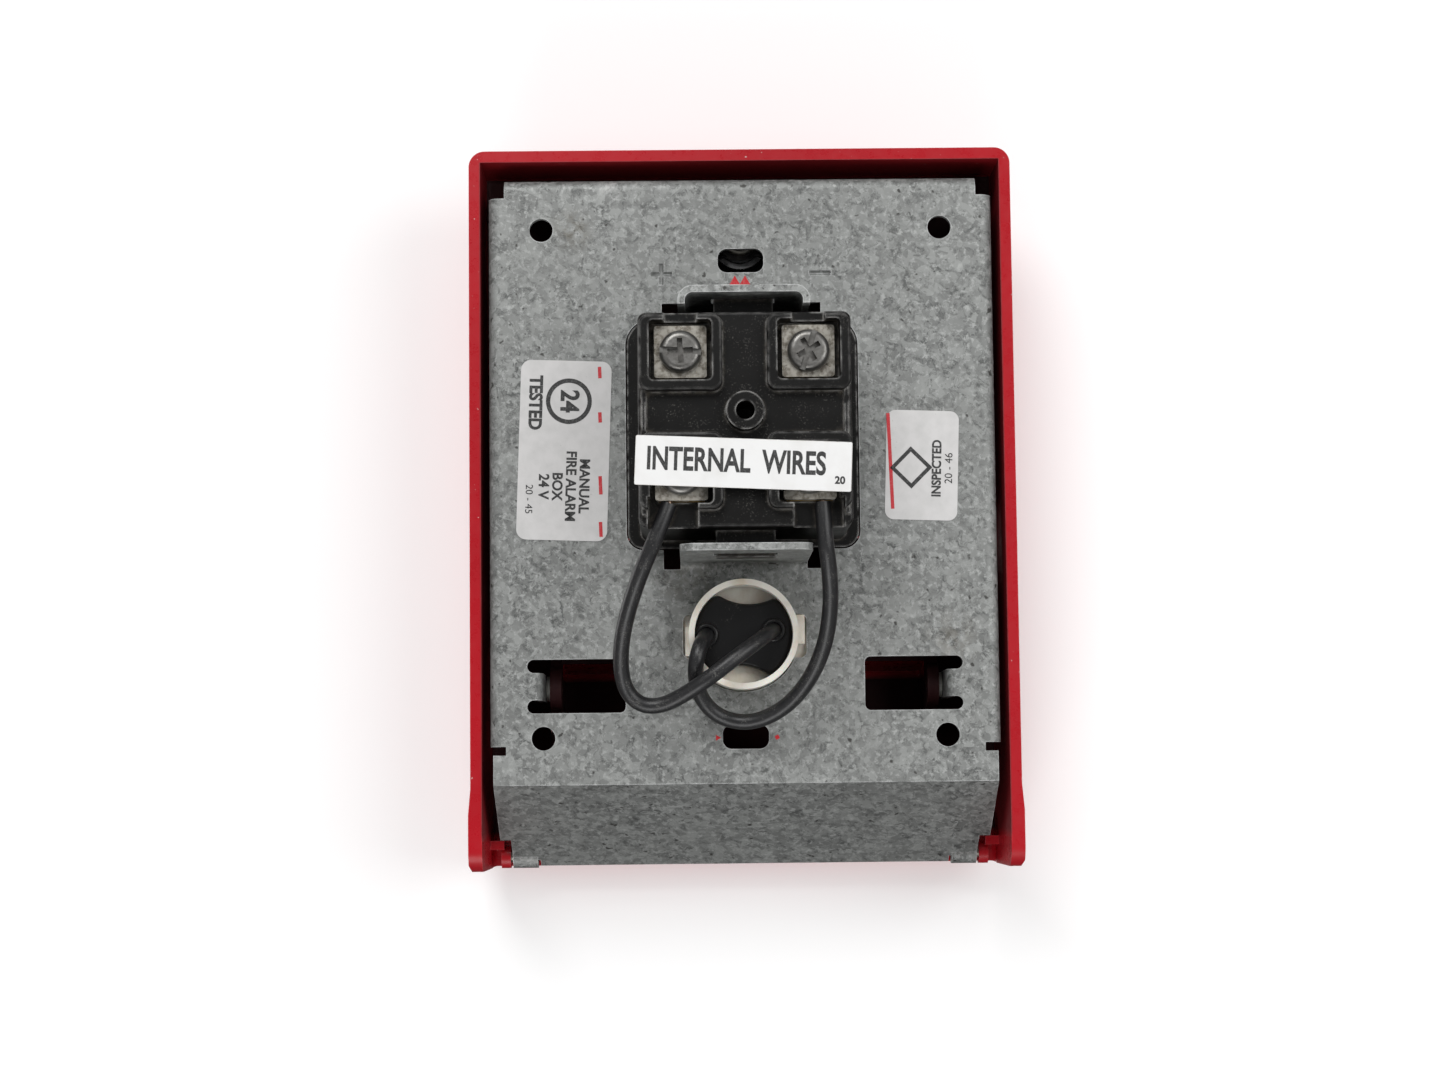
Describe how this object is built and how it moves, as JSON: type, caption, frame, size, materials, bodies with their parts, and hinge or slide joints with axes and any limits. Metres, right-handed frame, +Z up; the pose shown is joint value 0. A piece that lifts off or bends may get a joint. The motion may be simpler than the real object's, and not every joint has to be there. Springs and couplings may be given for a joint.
{
  "type": "manual fire alarm station",
  "caption": "Wedge-shaped red wall station: hinged cover with a pull-down lever, on a steel plate that carries a terminal block and a switch behind it.",
  "frame": {"origin": "centre of the mounting plate's four-hole pattern, on the plate's back face, which is the wall plane", "axes": "+Z up the wall, +Y into the wall, the station's front faces -Y, +X to the right of someone in front of it"},
  "size_m": [0.0962, 0.0606, 0.1261],
  "materials": {
    "red_moulding": "glossy moulded red plastic, scuffed at its edges",
    "galvanised_steel": "hot-dip galvanised sheet with a fine dull spangle",
    "zinc_steel": "dull zinc plate, dusty",
    "spring_steel": "plain spring steel",
    "brass": "dull brass",
    "copper": "bare stranded copper, tinned",
    "black_phenolic": "moulded black phenolic, dusty",
    "black_insulation": "charcoal wire insulation with a soft gloss",
    "cream_plastic": "aged off-white nylon, stained brown",
    "white_plastic": "glossy white moulding",
    "white_nylon": "plain white nylon",
    "black_rubber": "matt rubber",
    "label_film": "printed grey-white film",
    "white_label": "white printed label",
    "chrome": "bright chromium plate"
  },
  "bodies": {
    "base": {"mounting_plate": "galvanised_steel", "hinge_pins": "zinc_steel", "terminal_block": "black_phenolic", "bus_bar_left": "brass", "bus_bar_right": "brass", "clamp_plate_upper_left": "zinc_steel", "clamp_plate_lower_left": "zinc_steel", "clamp_plate_upper_right": "zinc_steel", "clamp_plate_lower_right": "zinc_steel", "terminal_screws": "zinc_steel", "lead_ends": "copper", "lead_wire_left": "black_insulation", "lead_wire_right": "black_insulation", "switch_holder": "cream_plastic", "switch_insert": "black_phenolic", "fixed_contacts": "brass", "plunger_spring": "spring_steel", "rating_label": "label_film", "approval_label": "label_film", "wiring_label": "white_label"},
    "plunger": {"switch_plunger": "black_phenolic", "moving_contact": "brass"},
    "lever": {"lever_frame": "red_moulding", "pull_handle": "white_plastic", "striker_pad": "black_rubber", "pivot_pins": "zinc_steel", "pivot_washers": "white_nylon", "retaining_rings": "spring_steel"},
    "cover": {"cover_shell": "red_moulding", "lock_body": "chrome", "lock_washer": "zinc_steel", "lock_nut": "zinc_steel"},
    "lock": {"lock_plug": "chrome", "lock_cam": "zinc_steel", "cam_screw": "zinc_steel"}
  },
  "joints": [
    {"name": "cover_hinge", "type": "hinge", "parent": "base", "child": "cover", "pos_m": [0, -0.0237, -0.0652], "axis": [1, 0, 0], "range_deg": [0, 75]},
    {"name": "pull_lever", "type": "hinge", "parent": "base", "child": "lever", "pos_m": [0, -0.0115, -0.03545], "axis": [1, 0, 0], "range_deg": [0, 25]},
    {"name": "plunger_slide", "type": "slide", "parent": "base", "child": "plunger", "axis": [0, -1, 0], "range_m": [0, 0.0024], "deforming": ["plunger_spring"]},
    {"name": "lock_turn", "type": "hinge", "parent": "cover", "child": "lock", "pos_m": [0, -0.015, 0.044], "axis": [0, 1, 0], "range_deg": [0, 90]}
  ],
  "couplings": [
    {"joint": "plunger_slide", "follows": "pull_lever", "m_per_rad": 0.0055}
  ]
}
